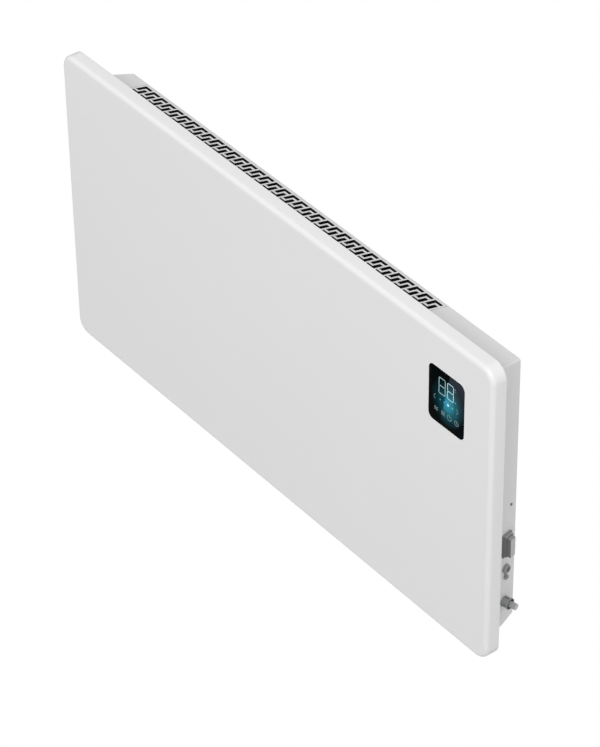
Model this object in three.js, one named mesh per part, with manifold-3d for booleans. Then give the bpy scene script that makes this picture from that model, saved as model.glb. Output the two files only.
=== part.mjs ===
// Wall panel convector heater, in millimetres.
// +Z is up, the front faces -Y and the wall is the plane Y = 0.
// The origin is the centre of the upper wall rail's back face.
import * as THREE from 'three';
import { mergeVertices } from 'three/addons/utils/BufferGeometryUtils.js';
import Module from 'manifold-3d';

const wasm = await Module();
wasm.setup();

// ---------------------------------------------------------------- driving dimensions

const gap = 0.3; // clearance left between neighbours

// front panel
const panelWidth = 826;
const panelHeight = 430;
const panelSheet = 1.2;
const rimDepth = 20;
const cornerRadius = 20; // of the outline
const edgeRadius = 6; // of the fold at the front edge
const returnWidth = 24; // of the flange turned in behind the rim

// rear casing
const wallGap = 6; // between the wall and the casing's back
const casingDepth = 57; // from its back to the panel's rim
const casingSheet = 1;
const casingInsetSide = 42.5; // back face to the panel's edges
const casingInsetTop = 42;
const casingInsetBottom = 7.5;
const sideFlare = 0.23; // outward run of the side walls per depth
const topFall = 0.24; // fall of the top wall per depth
const bottomRun = 20; // depth of the slanted rear part of the bottom
const bottomRise = 1.5; // the flat bottom's height above the panel's lower edge
const casingCorner = 2;
const flangeLap = 15; // casing flange over the panel's return flange
const flangeScrewOuter = 330; // upper flange screws from the middle
const flangeScrewInner = 110;
const flangeScrewLow = 112; // side flange screws
const flangeScrewHigh = 331;

// outlet slots: pairs of interlocked L shapes, measured in the top wall
const slotRowInset = 36; // from the casing's left back corner
const electronicsBay = 127.5; // right end of the top wall without slots
const slotPitch = 16.54;
const slotBridge = 2.75; // metal between two legs
const slotLegLength = 16.4;
const slotArmWidth = 4.7;
const slotNest = 8.1; // how far the second L starts in front of the first
const slotBackInset = 5.5;
const grilleMargin = 3.2; // metal round the slots
const grilleLip = 5;

// inlet slots
const inletPitch = 48;
const inletSlotLength = 40;
const inletSlotWidth = 5;
const inletRowPitch = 8.5;
const inletRows = 3;

// display
const displayWidth = 62;
const displayHeight = 78;
const displayInset = 47.5; // from the panel's right and upper edges
const displayCorner = 8;
const displayProud = 0.3;
const displayGlass = 1.5;
const displayFrameWall = 6; // plastic frame round and behind the glass
const displayFrameDepth = 6;
const displayBoardMargin = 3; // board over the glass
const digitInset = 9; // digit module inside the glass outline
const boardSheet = 1.6; // circuit boards

// fittings on the right wall: distance from its back edge, height above the panel's lower edge
const fittingRow = 17.2; // common line of switch and sensor
const switchHeight = 127.8;
const switchWidth = 16.5;
const switchLength = 34;
const switchFlange = 2;
const switchFrameInset = 1;
const switchFrameRise = 5.2;
const switchTaper = 1; // of the frame towards its front
const switchBodyDepth = 16;
const switchBlade = 8; // terminal blades behind the body
const rockerWidth = 10;
const rockerLength = 27;
const rockerTaper = 1; // of each side towards the face
const rockerRise = 8.2; // from the pivot to the face
const rockerPivot = 2; // pivot's height over the wall
const rockerTilt = 6; // degrees to either side
const rockerPin = 1.2;
const sensorHeight = 90;
const sensorRadius = 5.8;
const sensorBore = 3.4;
const sensorRise = 4.4;
const sensorTailDrop = 13; // from the ring's centre to the tail's centre
const sensorInside = 8;
const glandRow = 18.3;
const glandHeight = 40;
const glandRadius = 6.8;
const glandRise = 8.1;
const glandLip = 1.6; // length of the lip round the mouth
const glandLipReach = 0.6; // of the lip outside the body
const glandLipWall = 0.4; // of the body left round the mouth
const glandSlit = 1; // width of the four slits
const glandSlitDepth = 1.5;
const glandThread = 5.6;
const cableRadius = 4.1;
const cableRise = 18.6; // cut end of the cable over the wall
const cableInside = 20;
const sideScrewRow = 9.5;
const sideScrewHeight = 182.4;
const sideScrewRadius = 1.1;
const sideScrewHead = 1.8;
const sideScrewRise = 0.9;

// heating chamber
const plateSheet = 0.8; // end plate, divider and shield
const endPlateInset = 10; // outside the slot row
const plateFoot = 28; // lower edge of the end plates
const plateReach = 9; // end plates in front of the rim's back
const plateFlange = 15;
const plateFlangeDrop = 20; // flanges end below the casing's back edge
const shieldLow = 60;
const shieldDrop = 65; // its upper edge below the panel's
const shieldLip = 10;
const elementHeight = 120;
const elementSetOff = 32; // element's centre from the casing's back
const finLength = 26;
const finSheet = 1.6;
const finClearance = 20; // from each end plate
const tubeRadius = 6;
const tubeOverhang = 8;
const bushRadius = 9;
const bushCollar = 12;
const cutoutHeight = 260;
const cutoutShift = 14; // thermal cut-out from the chamber's middle, to the left
const cutoutRadius = 8.5;
const leadHoleRadius = 4;
const leadHoleRise = 16; // over the cut-out

// electronics
const trayOffset = 6.7; // from the divider
const trayWidth = 78;
const trayLow = 150;
const trayDrop = 80; // its upper edge below the panel's
const traySheet = 3;
const trayBoss = 4.2;
const boardInset = 4;
const boardLow = 185;
const transformerDrop = 61; // its lower side below the board's upper edge
const earthOffset = 10; // earth screw beside the tray
const earthHeight = 66;
const wireRadius = 1.2;
const ribbonWidth = 12;

// wall side
const railHeight = 320; // rail centre above the panel's lower edge
const railLength = 420;
const railWidth = 40;
const railSheet = 1.5;
const hookSpread = 170; // of each hook from the middle
const hookWidth = 30;
const hookLip = 10;
const lowerRailHeight = 70;
const lowerRailLength = 300;
const lowerRailWidth = 30;
const spacerSpread = 130;
const wallScrewSpread = 105;
const wallSlotLength = 14;
const wallSlotWidth = 6.5;
const bumperRadius = 9;
const bumperInset = 70.5; // from the casing's back corners
const bumperHeight = 45;
const screwRadius = 1.6;
const screwHead = 3.6;
const screwHeadRise = 2.2;

// ---------------------------------------------------------------- places worked out from them

const halfWidth = panelWidth / 2;
const casingBack = -wallGap;
const rimBack = casingBack - casingDepth;
const frontFace = rimBack - rimDepth;
const innerFace = frontFace + panelSheet;
const casingHalf = halfWidth - casingInsetSide;
const casingTop = panelHeight - casingInsetTop;
const backInside = casingBack - casingSheet;
const bottomBend = casingBack - bottomRun;
const flangeFront = rimBack + gap;
const flangeBack = flangeFront + casingSheet;
const slotsLeft = -casingHalf + slotRowInset;
const slotArm = slotPitch - slotBridge;
const slotWidth = (slotArm - slotBridge) / 2;
const slotCount = Math.floor((2 * casingHalf - slotRowInset - electronicsBay + slotBridge) / slotPitch);
const slotsRight = slotsLeft + slotCount * slotPitch - slotBridge;
const slotsFront = -slotBackInset - slotNest - slotLegLength;
const leftPlate = slotsLeft - endPlateInset;
const divider = slotsRight + endPlateInset;
const plateFront = rimBack - plateReach;
const elementY = casingBack - elementSetOff;
const trayLeft = divider + plateSheet + trayOffset;
const trayRight = trayLeft + trayWidth;
const trayHigh = panelHeight - trayDrop;
const shieldHigh = panelHeight - shieldDrop;
const displayX = halfWidth - displayInset - displayWidth / 2;
const displayZ = panelHeight - displayInset - displayHeight / 2;

// ---------------------------------------------------------------- making closed solids

function closed(geometry) {
  geometry.deleteAttribute('normal');
  geometry.deleteAttribute('uv');
  const merged = mergeVertices(geometry, 1e-4);
  const index = merged.index.array;
  const kept = [];
  for (let i = 0; i < index.length; i += 3) {
    const [a, b, c] = index.subarray(i, i + 3);
    if (a !== b && b !== c && c !== a) kept.push(a, b, c);
  }
  merged.setIndex(kept);
  merged.clearGroups();
  return merged;
}

function solid(geometry) {
  const merged = closed(geometry.clone());
  const vertProperties = Float32Array.from(merged.attributes.position.array);
  const triVerts = Uint32Array.from(merged.index.array);
  return new wasm.Manifold(new wasm.Mesh({ numProp: 3, vertProperties, triVerts }));
}

function surface(manifold) {
  const mesh = manifold.getMesh();
  const geometry = new THREE.BufferGeometry();
  geometry.setAttribute('position', new THREE.BufferAttribute(mesh.vertProperties, 3));
  geometry.setIndex(new THREE.BufferAttribute(mesh.triVerts, 1));
  return geometry;
}

function cut(base, tools) {
  return surface(tools.reduce((body, tool) => body.subtract(solid(tool)), solid(base)));
}

function join(pieces) {
  return surface(pieces.slice(1).reduce((body, piece) => body.add(solid(piece)), solid(pieces[0])));
}

// Planes that a flat shape is drawn in, with the way it is thickened.
const X = new THREE.Vector3(1, 0, 0);
const Y = new THREE.Vector3(0, 1, 0);
const Z = new THREE.Vector3(0, 0, 1);
const PLANES = {
  upright: new THREE.Matrix4().makeBasis(X, Z, Y.clone().negate()), // drawn in x, z; thickened to -y
  side: new THREE.Matrix4().makeBasis(Y, Z, X), // drawn in y, z; thickened to +x
  flat: new THREE.Matrix4(), // drawn in x, y; thickened to +z
};

function sheet(shape, thickness, plane, offset = 0) {
  const options = { depth: thickness, bevelEnabled: false, curveSegments: 5 };
  const geometry = new THREE.ExtrudeGeometry(shape, options);
  geometry.translate(0, 0, offset);
  return geometry.applyMatrix4(PLANES[plane]);
}

// A sheet with holes cut square through it.
function punched(shape, holes, thickness, plane, offset = 0) {
  const tools = holes.map((hole) => sheet(hole, thickness + 2, plane, offset - 1));
  return cut(sheet(shape, thickness, plane, offset), tools);
}

function block(low, high) {
  const size = high.map((value, axis) => value - low[axis]);
  const middle = high.map((value, axis) => (value + low[axis]) / 2);
  return new THREE.BoxGeometry(...size).translate(...middle);
}

// A turned piece: the profile is [radius, place along the axis], from low to high.
const TURN = {
  x: new THREE.Matrix4().makeBasis(Z, X, Y),
  y: new THREE.Matrix4(),
  z: new THREE.Matrix4().makeBasis(Y, Z, X),
};

function turned(profile, axis, sides = 16) {
  const points = profile.map(([radius, place]) => new THREE.Vector2(radius, place));
  return new THREE.LatheGeometry(points, sides).applyMatrix4(TURN[axis]);
}

function rod(radius, from, to, axis, sides = 16) {
  return turned([[0, from], [radius, from], [radius, to], [0, to]], axis, sides);
}

function washer(inner, outer, from, to, axis, sides = 24) {
  return turned([[inner, from], [outer, from], [outer, to], [inner, to], [inner, from]], axis, sides);
}

function polygon(points) {
  return new THREE.Shape(points.map(([x, y]) => new THREE.Vector2(x, y)));
}

function rectangle(left, low, right, high) {
  return polygon([[left, low], [right, low], [right, high], [left, high]]);
}

function rounded(left, low, right, high, radius) {
  const shape = new THREE.Shape();
  shape.absarc(right - radius, low + radius, radius, -Math.PI / 2, 0);
  shape.absarc(right - radius, high - radius, radius, 0, Math.PI / 2);
  shape.absarc(left + radius, high - radius, radius, Math.PI / 2, Math.PI);
  shape.absarc(left + radius, low + radius, radius, Math.PI, 1.5 * Math.PI);
  return shape;
}

function regular(sides, radius, x = 0, y = 0) {
  return polygon(Array.from({ length: sides }, (_, i) => {
    const angle = (i / sides) * 2 * Math.PI;
    return [x + radius * Math.cos(angle), y + radius * Math.sin(angle)];
  }));
}

// A closed ring of points round an upright rounded rectangle.
function ring(box, radius, y) {
  const steps = 6;
  const points = [];
  const corners = [
    [box.right - radius, box.low + radius],
    [box.right - radius, box.high - radius],
    [box.left + radius, box.high - radius],
    [box.left + radius, box.low + radius],
  ];
  corners.forEach(([x, z], corner) => {
    for (let i = 0; i <= steps; i += 1) {
      const angle = (corner - 1 + i / steps) * (Math.PI / 2);
      points.push(new THREE.Vector3(x + radius * Math.cos(angle), y, z + radius * Math.sin(angle)));
    }
  });
  return points;
}

// Rings joined in order, with a flat end on the first and the last.
function loft(rings) {
  const count = rings[0].length;
  const points = rings.flat();
  const index = [];
  for (let r = 0; r < rings.length - 1; r += 1) {
    for (let i = 0; i < count; i += 1) {
      const near = [r * count + i, r * count + ((i + 1) % count)];
      const far = near.map((place) => place + count);
      index.push(near[0], far[0], near[1], near[1], far[0], far[1]);
    }
  }
  const ends = [rings[0], rings.at(-1)].map((end) => {
    const middle = new THREE.Vector3();
    end.forEach((point) => middle.addScaledVector(point, 1 / count));
    return points.push(middle) - 1;
  });
  const last = (rings.length - 1) * count;
  for (let i = 0; i < count; i += 1) {
    const j = (i + 1) % count;
    index.push(ends[0], i, j, ends[1], last + j, last + i);
  }
  return new THREE.BufferGeometry().setFromPoints(points).setIndex(index);
}

function tube(points, radius, sides = 6, steps = 18) {
  const section = [];
  for (let i = 0; i < sides; i += 1) {
    const angle = (i / sides) * 2 * Math.PI;
    section.push([radius * Math.cos(angle), radius * Math.sin(angle)]);
  }
  return drawnAlong(points, polygon(section), steps);
}

function drawnAlong(points, shape, steps) {
  const knots = points.map((point) => new THREE.Vector3(...point));
  const path = new THREE.CatmullRomCurve3(knots, false, 'centripetal');
  return new THREE.ExtrudeGeometry(shape, { steps, bevelEnabled: false, extrudePath: path });
}

// ---------------------------------------------------------------- the scene graph

const part = new THREE.Group();
const heater = new THREE.Group(); // its z is measured from the panel's lower edge
heater.position.z = -railHeight;
part.add(heater);

const topWall = new THREE.Group(); // z along the top wall's normal, y from its back edge
topWall.position.set(0, casingBack, casingTop);
topWall.rotation.x = -Math.atan(topFall);
heater.add(topWall);

const rightWall = new THREE.Group(); // x along the right wall's normal, y from its back edge
rightWall.position.set(casingHalf, casingBack, 0);
rightWall.rotation.z = Math.atan(sideFlare);
heater.add(rightWall);

function from(frame, geometry) {
  frame.updateMatrix();
  return geometry.clone().applyMatrix4(frame.matrix);
}

const FINISHES = {
  whitePaint: [0xf1f2f2, 0.45, 0.0],
  blackGlass: [0x05070a, 0.08, 0.0],
  darkPlastic: [0x2a2c2e, 0.5, 0.0],
  greyPlastic: [0x77797b, 0.5, 0.0],
  lightPlastic: [0xb4b7b9, 0.45, 0.0],
  rubber: [0x1c1c1d, 0.8, 0.0],
  cable: [0xa2a5a7, 0.55, 0.0],
  steel: [0xaeb1b4, 0.35, 1.0],
  galvanised: [0xb9bdc0, 0.45, 0.9],
  aluminium: [0xc9ccce, 0.4, 1.0],
  ceramic: [0xe9e4d8, 0.6, 0.0],
  board: [0x1f5a3a, 0.5, 0.0],
  yellowCore: [0x9bb02a, 0.5, 0.0],
  blueCore: [0x2f5fa5, 0.5, 0.0],
  brownCore: [0x6a4326, 0.5, 0.0],
};

function add(parent, name, finish, geometry) {
  const [color, roughness, metalness] = FINISHES[finish];
  const material = new THREE.MeshStandardMaterial({ color, roughness, metalness });
  const mesh = new THREE.Mesh(closed(geometry), material);
  mesh.name = name;
  parent.add(mesh);
  return mesh;
}

// ---------------------------------------------------------------- panel and casing

function panelRing(inset, y) {
  const box = { left: inset - halfWidth, right: halfWidth - inset, low: inset, high: panelHeight - inset };
  return ring(box, Math.max(cornerRadius - inset, panelSheet), y);
}

function foldRings(radius, inset, y) {
  const steps = 5;
  return Array.from({ length: steps + 1 }, (_, i) => {
    const angle = (i / steps) * (Math.PI / 2);
    return panelRing(inset + radius * (1 - Math.sin(angle)), y + radius * (1 - Math.cos(angle)));
  });
}

const lapCentre = returnWidth - flangeLap / 2; // inset of the flange screws

function flangeScrewPlaces() {
  return [-1, 1].flatMap((side) => [
    [side * flangeScrewOuter, panelHeight - lapCentre],
    [side * flangeScrewInner, panelHeight - lapCentre],
    [side * (halfWidth - lapCentre), flangeScrewLow],
    [side * (halfWidth - lapCentre), flangeScrewHigh],
  ]);
}

function flangeScrewHoles() {
  return flangeScrewPlaces().map(([x, z]) => {
    return rod(screwRadius + gap, rimBack - rimDepth / 2, flangeBack + gap, 'y', 12).translate(x, 0, z);
  });
}

function frontPanel() {
  const outer = foldRings(edgeRadius, 0, frontFace);
  const inner = foldRings(edgeRadius - panelSheet, panelSheet, innerFace).reverse();
  const flange = [
    panelRing(0, rimBack),
    panelRing(returnWidth, rimBack),
    panelRing(returnWidth, rimBack - panelSheet),
    panelRing(panelSheet, rimBack - panelSheet),
  ];
  const opening = rounded(
    displayX - displayWidth / 2 - gap,
    displayZ - displayHeight / 2 - gap,
    displayX + displayWidth / 2 + gap,
    displayZ + displayHeight / 2 + gap,
    displayCorner + gap,
  );
  const window = sheet(opening, 3 * panelSheet, 'upright', -frontFace - 2 * panelSheet);
  return cut(loft([...outer, ...flange, ...inner]), [window, ...flangeScrewHoles()]);
}

// Outline of the casing's walls at a depth, shrunk by an inset.
function casingBox(y, inset) {
  const depth = casingBack - y;
  const side = casingHalf + sideFlare * depth - inset;
  const slant = (casingInsetBottom - bottomRise) * Math.min(depth / bottomRun, 1);
  return {
    left: -side,
    right: side,
    low: casingInsetBottom - slant + inset,
    high: casingTop + topFall * depth - inset,
  };
}

function casingRings() {
  const lap = returnWidth - flangeLap;
  const flange = {
    left: lap - halfWidth,
    right: halfWidth - lap,
    low: bottomRise - casingSheet,
    high: panelHeight - lap,
  };
  const inside = (y) => ring(casingBox(y, casingSheet), casingCorner - casingSheet, y);
  const outside = (y) => ring(casingBox(y, 0), casingCorner, y);
  return [
    inside(backInside),
    inside(bottomBend),
    inside(flangeFront),
    ring(flange, cornerRadius - lap, flangeFront),
    ring(flange, cornerRadius - lap, flangeBack),
    outside(flangeBack),
    outside(bottomBend),
    outside(casingBack),
  ];
}

// The outlet's opening in the top wall's own frame: x, and y from the back edge.
const outlet = {
  left: slotsLeft - grilleMargin,
  right: slotsRight + grilleMargin,
  low: slotsFront - grilleMargin,
  high: -slotBackInset + grilleMargin,
};

const inlet = {
  left: outlet.left,
  right: outlet.right,
  low: flangeBack + 3.5,
  high: bottomBend - 3.5,
};

function grown(box, by) {
  return { left: box.left - by, right: box.right + by, low: box.low - by, high: box.high + by };
}

function boxShape(box) {
  return rectangle(box.left, box.low, box.right, box.high);
}

function rightWallHoles() {
  const side = switchWidth / 2 - switchFrameInset - 1;
  const end = switchLength / 2 - switchFrameInset - 1;
  const depth = 4 * casingSheet;
  return [
    block([-depth, -fittingRow - side, switchHeight - end], [depth, -fittingRow + side, switchHeight + end]),
    rod(sensorBore + 1, -depth, depth, 'x').translate(0, -fittingRow, sensorHeight),
    rod(glandThread + gap, -depth, depth, 'x').translate(0, -glandRow, glandHeight),
    rod(sideScrewRadius + gap, -depth, depth, 'x', 12).translate(0, -sideScrewRow, sideScrewHeight),
  ].map((hole) => from(rightWall, hole));
}

function hookSlots() {
  return [-1, 1].map((side) => {
    const x = side * hookSpread;
    const half = hookWidth / 2 + gap;
    const low = railHeight - railSheet - hookLip - gap;
    return block([x - half, backInside - 1, low], [x + half, casingBack + 1, railHeight + gap]);
  });
}

function rearCasing() {
  const outletBlock = sheet(boxShape(grown(outlet, gap)), 8 * casingSheet, 'flat', -4 * casingSheet);
  const outletHole = from(topWall, outletBlock);
  const inletHole = sheet(boxShape(grown(inlet, gap)), 4 * casingSheet, 'flat', bottomRise - casingSheet);
  const holes = [outletHole, inletHole, ...rightWallHoles(), ...hookSlots(), ...flangeScrewHoles()];
  return cut(loft(casingRings()), holes);
}

// A punched plate with a lip turned in all round; inward is the way to the casing's inside.
function lippedPlate(box, holes, inward) {
  const plate = punched(boxShape(box), holes, casingSheet, 'flat', inward < 0 ? -casingSheet : 0);
  const depth = grilleLip - casingSheet / 2;
  const inside = boxShape(grown(box, -casingSheet));
  const lip = punched(boxShape(box), [inside], depth, 'flat', inward < 0 ? -grilleLip : casingSheet / 2);
  return join([plate, lip]);
}

function slotPair(x) {
  const back = -slotBackInset;
  const hook = [
    [x, back],
    [x + slotArm, back],
    [x + slotArm, back - slotArmWidth],
    [x + slotWidth, back - slotArmWidth],
    [x + slotWidth, back - slotLegLength],
    [x, back - slotLegLength],
  ];
  const turnedHook = hook.map(([px, py]) => [2 * x + slotArm - px, back + slotsFront - py]);
  return [polygon(hook), polygon(turnedHook)];
}

function outletGrille() {
  const pairs = Array.from({ length: slotCount }, (_, i) => slotPair(slotsLeft + i * slotPitch));
  return lippedPlate(outlet, pairs.flat(), -1);
}

function inletGrille() {
  const holes = [];
  const length = inlet.right - inlet.left;
  const columns = Math.floor(length / inletPitch);
  const middle = (inlet.low + inlet.high) / 2;
  for (let column = 0; column < columns; column += 1) {
    const x = inlet.left + (length - (columns - 1) * inletPitch) / 2 + column * inletPitch;
    for (let row = 0; row < inletRows; row += 1) {
      const y = middle + (row - (inletRows - 1) / 2) * inletRowPitch;
      holes.push(longHole(x, y, inletSlotLength, inletSlotWidth));
    }
  }
  return lippedPlate(inlet, holes, 1).translate(0, 0, bottomRise);
}

// A slot with bevelled ends.
function longHole(x, y, length, width) {
  const end = length / 2;
  const bevel = width / 3;
  const half = width / 2;
  return polygon([
    [x - end, y - half + bevel],
    [x - end + bevel, y - half],
    [x + end - bevel, y - half],
    [x + end, y - half + bevel],
    [x + end, y + half - bevel],
    [x + end - bevel, y + half],
    [x - end + bevel, y + half],
    [x - end, y + half - bevel],
  ]);
}

// A pan-head screw along +y: the head's seat is at 0 and the shank points to -y.
function panScrew(length, radius = screwRadius, head = screwHead, rise = screwHeadRise) {
  const screw = turned([
    [0, -length],
    [radius, -length],
    [radius, 0],
    [head, 0],
    [head, rise / 2],
    [0.7 * head, rise],
    [0, rise],
  ], 'y', 12);
  const reach = 0.55 * head;
  const half = 0.12 * head;
  return cut(screw, [
    block([-reach, rise / 2, -half], [reach, 2 * rise, half]),
    block([-half, rise / 2, -reach], [half, 2 * rise, reach]),
  ]);
}

add(heater, 'front_panel', 'whitePaint', frontPanel());
add(heater, 'rear_casing', 'whitePaint', rearCasing());
add(topWall, 'outlet_grille', 'whitePaint', outletGrille());
add(heater, 'inlet_grille', 'whitePaint', inletGrille());
flangeScrewPlaces().forEach(([x, z], i) => {
  const screw = add(heater, `flange_screw_${i + 1}`, 'steel', panScrew(6));
  screw.position.set(x, flangeBack + gap, z);
});

// ---------------------------------------------------------------- display

function displayBox(grow, corner) {
  return rounded(
    displayX - displayWidth / 2 - grow,
    displayZ - displayHeight / 2 - grow,
    displayX + displayWidth / 2 + grow,
    displayZ + displayHeight / 2 + grow,
    corner,
  );
}

const frameFront = innerFace + gap;
const frameBack = frameFront + displayFrameDepth;
const boardBack = frameBack + gap + boardSheet;

function displayFrame() {
  const outline = displayBox(displayFrameWall, displayCorner);
  const opening = displayBox(-displayFrameWall / 2, displayCorner / 2);
  return punched(outline, [opening], displayFrameDepth, 'upright', -frameBack);
}

function digitModule() {
  return sheet(displayBox(-digitInset, 1), displayFrameDepth - 1, 'upright', -frameBack);
}

const boardOutline = displayBox(displayBoardMargin, 2);
const glassBack = -(frontFace - displayProud + displayGlass);
const glassPlate = sheet(displayBox(0, displayCorner), displayGlass, 'upright', glassBack);
add(heater, 'display_glass', 'blackGlass', glassPlate);
add(heater, 'display_frame', 'darkPlastic', displayFrame());
add(heater, 'display_board', 'board', sheet(boardOutline, boardSheet, 'upright', -boardBack));
add(heater, 'digit_module', 'darkPlastic', digitModule());

// ---------------------------------------------------------------- mains switch

const cavityWidth = rockerWidth + 2 * gap;
const cavityLength = rockerLength + 4 * gap;

// An upright ring round the switch, at a height over the wall.
function switchRing(inset, radius, height) {
  const [side, end] = [switchWidth / 2 - inset, switchLength / 2 - inset];
  return ring({ left: -side, right: side, low: -end, high: end }, radius, -height);
}

function switchHousing() {
  const toWall = new THREE.Matrix4().makeBasis(Y, X.clone().negate(), Z);
  const layer = (outer, inner) => loft([switchRing(...outer), switchRing(...inner)]).applyMatrix4(toWall);
  const bodyInset = switchFrameInset + 1 + gap;
  const seat = gap + switchFlange / 2;
  const bladeEnd = -switchBodyDepth - switchBlade;
  const solidBody = join([
    layer([0, 1.5, gap + switchFlange], [0, 1.5, gap]),
    layer([switchFrameInset + switchTaper, 1.5, switchFrameRise], [switchFrameInset, 1.5, seat]),
    layer([bodyInset, 0.5, seat], [bodyInset, 0.5, -switchBodyDepth]),
    ...[-9, 0, 9].map((z) => block([bladeEnd, -2.4, z - 0.4], [1 - switchBodyDepth, 2.4, z + 0.4])),
  ]);
  const cavity = [cavityWidth / 2, cavityLength / 2];
  const bearing = rod(rockerPin + gap, -cavityWidth / 2 - 1.2, cavityWidth / 2 + 1.2, 'y', 12);
  return cut(solidBody, [
    block([-6, -cavity[0], -cavity[1]], [switchFrameRise + 1, cavity[0], cavity[1]]),
    bearing.translate(rockerPivot, 0, 0),
  ]);
}

// The rocker about its pivot: its face slopes by the tilt, so it lies level in the tipped rest pose.
function switchRocker() {
  const end = rockerLength / 2;
  const half = rockerWidth / 2;
  const fall = end * Math.tan(THREE.MathUtils.degToRad(rockerTilt));
  const profile = [
    [rockerRise - fall, end - 0.6],
    [rockerRise - fall - 0.6, end],
    [0.4, end],
    [-1.5, end - 5],
    [-3.5, 0],
    [-1.5, 5 - end],
    [0.4, -end],
    [rockerRise + fall - 0.6, -end],
    [rockerRise + fall, 0.6 - end],
  ];
  const paddle = sheet(polygon(profile.reverse()), rockerWidth, 'upright', -half);
  const pin = rod(rockerPin, -half - 1.2, half + 1.2, 'y', 12);
  const top = rockerRise + 2 * fall;
  const shavings = [-1, 1].map((side) => sheet(polygon([
    [rockerPin + 1, side * half],
    [top, side * (half - rockerTaper)],
    [top, side * (half + 1)],
    [rockerPin + 1, side * (half + 1)],
  ]), 2 * rockerLength, 'flat', -rockerLength));
  return cut(join([paddle, pin]), shavings);
}

const housing = add(rightWall, 'switch_housing', 'greyPlastic', switchHousing());
housing.position.set(0, -fittingRow, switchHeight);
const rocker = add(rightWall, 'switch_rocker', 'lightPlastic', switchRocker());
rocker.position.set(rockerPivot, -fittingRow, switchHeight);
rocker.rotation.y = THREE.MathUtils.degToRad(rockerTilt);

// ---------------------------------------------------------------- room sensor

function sensorHousing() {
  const ringBody = turned([
    [0, gap],
    [sensorRadius, gap],
    [sensorRadius, sensorRise - 1],
    [sensorRadius - 1, sensorRise],
    [0, sensorRise],
  ], 'x', 20);
  const stem = rod(sensorBore + 1 - gap, -5, gap + 1, 'x', 20);
  const tail = block([gap, -2.6, -sensorTailDrop - 2], [3.6, 2.6, 2 - sensorTailDrop]);
  const neck = block([gap, -1.6, -sensorTailDrop], [2.4, 1.6, -sensorRadius + 1]);
  const notch = block([2.8, -0.9, -sensorTailDrop - 0.8], [4.5, 0.9, 0.8 - sensorTailDrop]);
  return cut(join([ringBody, stem, tail, neck]), [rod(sensorBore, -6, sensorRise + 1, 'x', 20), notch]);
}

function roomSensor() {
  const radius = sensorBore - gap;
  const profile = [[0, -sensorInside], [radius, -sensorInside], [radius, 1.5], [0.7 * radius, 3], [0, 3.4]];
  return turned(profile, 'x', 12);
}

add(rightWall, 'sensor_housing', 'greyPlastic', sensorHousing()).position.set(0, -fittingRow, sensorHeight);
add(rightWall, 'room_sensor', 'darkPlastic', roomSensor()).position.set(0, -fittingRow, sensorHeight);

// ---------------------------------------------------------------- cable gland

const cableBore = cableRadius + gap;
const glandTop = gap + glandRise;
const glandEnd = glandTop + glandLip;
const glandMouth = glandRadius - glandLipWall;

// A threaded stem, a round body with four slits and a lip round its mouth.
function glandBody() {
  const lipRadius = glandRadius + glandLipReach;
  const body = turned([
    [0, -9],
    [glandThread, -9],
    [glandThread, gap],
    [glandRadius, gap],
    [glandRadius, glandTop],
    [lipRadius, glandTop],
    [lipRadius, glandEnd],
    [0, glandEnd],
  ], 'x', 24);
  const slitFloor = glandRadius - glandSlitDepth;
  const slit = block([gap + 1.2, -glandSlit / 2, slitFloor], [glandTop - 0.5, glandSlit / 2, glandRadius + 1]);
  const slits = [0, 1, 2, 3].map((quarter) => slit.clone().rotateX(quarter * (Math.PI / 2)));
  const bore = rod(cableBore, -10, glandEnd + 1, 'x', 20);
  return cut(body, [bore, rod(glandMouth, glandTop, glandEnd + 1, 'x', 24), ...slits]);
}

const lockNut = regular(6, 1.5 * glandThread);
const nutBore = regular(24, glandThread + gap);

const glandPieces = [
  ['gland_body', 'greyPlastic', glandBody()],
  ['gland_seal', 'rubber', washer(cableBore, glandMouth - gap, glandTop + gap, glandEnd - 0.5, 'x')],
  ['gland_lock_nut', 'greyPlastic', punched(lockNut, [nutBore], 4, 'side', -casingSheet - gap - 4)],
  ['cable_tail', 'cable', rod(cableRadius, -cableInside, cableRise, 'x', 20)],
];
glandPieces.forEach(([name, finish, geometry]) => {
  add(rightWall, name, finish, geometry).position.set(0, -glandRow, glandHeight);
});

const smallScrew = panScrew(6, sideScrewRadius, sideScrewHead, sideScrewRise);
const sideScrew = add(rightWall, 'side_screw', 'steel', smallScrew);
sideScrew.rotation.z = -Math.PI / 2;
sideScrew.position.set(gap, -sideScrewRow, sideScrewHeight);

// ---------------------------------------------------------------- heating chamber

// Side view of an end plate: it follows the back and the top wall.
function endPlateShape() {
  const back = backInside - gap;
  const ceiling = (y) => casingTop + topFall * (casingBack - y) - 1.5 * casingSheet - gap;
  return polygon([
    [plateFront, plateFoot],
    [back, plateFoot],
    [back, ceiling(back)],
    [flangeFront, ceiling(flangeFront)],
    [plateFront, ceiling(flangeFront)],
  ]);
}

// The plate's sheet starts at x; its feet are turned towards the chamber (+1) or away from it.
function endPlate(x, inward, holes) {
  const reach = inward * plateFlange;
  const [left, right] = [x + plateSheet / 2, x + plateSheet / 2 + reach].sort((a, b) => a - b);
  const back = backInside - gap;
  const high = casingTop - plateFlangeDrop;
  return join([
    punched(endPlateShape(), holes, plateSheet, 'side', x),
    block([left, back - plateSheet, plateFoot], [right, back, high]),
    block([left, plateFront, plateFoot], [right, plateFront + plateSheet, high]),
  ]);
}

function heatShield() {
  const front = plateFront + plateSheet + gap;
  const back = front + plateSheet;
  const profile = polygon([
    [front, shieldLow],
    [front + shieldLip, shieldLow],
    [front + shieldLip, shieldLow + plateSheet],
    [back, shieldLow + plateSheet],
    [back, shieldHigh - plateSheet],
    [front + shieldLip, shieldHigh - plateSheet],
    [front + shieldLip, shieldHigh],
    [front, shieldHigh],
  ]);
  const left = leftPlate + plateSheet + gap;
  return sheet(profile, divider - gap - left, 'side', left);
}

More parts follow.
